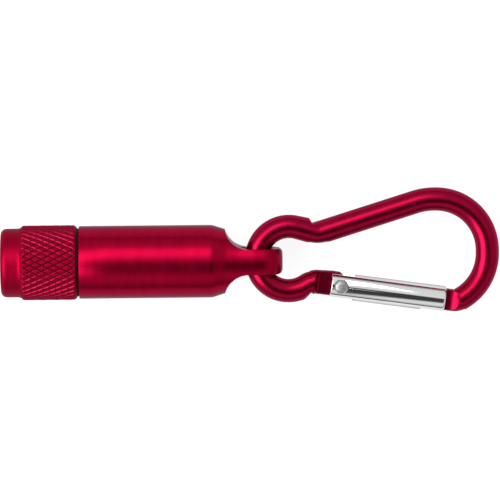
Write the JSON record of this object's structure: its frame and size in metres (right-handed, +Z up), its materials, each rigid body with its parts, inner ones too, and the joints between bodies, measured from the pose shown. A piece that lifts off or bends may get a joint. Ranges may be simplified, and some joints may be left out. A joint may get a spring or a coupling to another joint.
{
  "type": "keychain flashlight",
  "caption": "Small cylindrical twist-on torch with a knurled head and a flat lug, hung on a pear-shaped wire carabiner with a sprung gate.",
  "frame": {"origin": "middle of the whole object's footprint, on the surface it lies on", "axes": "+X along the torch from the lens to the carabiner, +Y towards the carabiner's solid back, +Z up; the knurled band and the carabiner's far end touch the surface"},
  "size_m": [0.0998, 0.0252, 0.015],
  "materials": {
    "anodised_red": "satin red anodising over turned aluminium",
    "anodised_red_gloss": "polished and red anodised aluminium wire",
    "bare_aluminium": "polished bare aluminium",
    "rivet_steel": "peened plated steel",
    "spring_steel": "plated spring wire",
    "pin_brass": "turned brass",
    "clear_acrylic": "clear polished acrylic",
    "black_rubber": "moulded nitrile",
    "metallised_plastic": "vacuum metallised mirror",
    "clear_epoxy": "clear moulded epoxy",
    "tinned_lead": "tinned",
    "holder_nylon": "moulded black nylon",
    "board_green": "green solder mask",
    "resistor_black": "moulded black",
    "contact_brass": "stamped brass",
    "sleeve_film": "rolled white film",
    "cell_can": "bright nickel plate",
    "cell_cap": "bright nickel plate",
    "cell_seal": "moulded green nylon"
  },
  "bodies": {
    "torch_body": {"barrel": "anodised_red", "battery_sleeve": "sleeve_film", "neck_o_ring": "black_rubber", "tail_spring": "spring_steel"},
    "cell_stack": {"cell_1_can": "cell_can", "cell_1_seal": "cell_seal", "cell_1_cap": "cell_cap", "cell_2_can": "cell_can", "cell_2_seal": "cell_seal", "cell_2_cap": "cell_cap", "cell_3_can": "cell_can", "cell_3_seal": "cell_seal", "cell_3_cap": "cell_cap", "cell_4_can": "cell_can", "cell_4_seal": "cell_seal", "cell_4_cap": "cell_cap"},
    "head": {"head_shell": "anodised_red", "lens": "clear_acrylic", "lens_gasket": "black_rubber", "reflector": "metallised_plastic", "led_bulb": "clear_epoxy", "led_lead_plus": "tinned_lead", "led_lead_minus": "tinned_lead", "led_holder": "holder_nylon", "led_board": "board_green", "led_resistor": "resistor_black", "contact_ring": "contact_brass", "centre_contact": "contact_brass"},
    "carabiner": {"carabiner_frame": "anodised_red_gloss"},
    "gate_arm": {"gate": "bare_aluminium", "gate_rivet": "rivet_steel", "gate_spring": "spring_steel"},
    "plunger": {"gate_plunger": "pin_brass"}
  },
  "joints": [
    {"name": "head_travel", "type": "slide", "parent": "torch_body", "child": "cell_stack", "axis": [1, 0, 0], "range_m": [-0.003, 0.0003], "deforming": ["tail_spring"]},
    {"name": "head_turn", "type": "hinge", "parent": "cell_stack", "child": "head", "pos_m": [0, -0.00155, 0.00748], "axis": [1, 0, 0], "range_deg": [-1080.5, 108.5]},
    {"name": "carabiner_swing", "type": "hinge", "parent": "torch_body", "child": "carabiner", "pos_m": [0.00145, -0.00155, 0.00748], "axis": [0, 1, 0], "range_deg": [-96.3, 83.6]},
    {"name": "gate_open", "type": "hinge", "parent": "carabiner", "child": "gate_arm", "pos_m": [0.01781, -0.00688, 0.00566], "axis": [0.1104, 0, 0.9939], "range_deg": [0, 28], "stiffness_Nm_per_rad": 0.03, "springref_deg": -22.92, "deforming": ["gate_spring"]},
    {"name": "plunger_slide", "type": "slide", "parent": "gate_arm", "child": "plunger", "axis": [0.9835, -0.1444, -0.1093], "range_m": [0, 0.00056]}
  ],
  "couplings": [
    {"joint": "head_turn", "follows": "head_travel", "rad_per_m": 6283.2},
    {"joint": "plunger_slide", "follows": "gate_open", "m_per_rad": 0.0011}
  ]
}
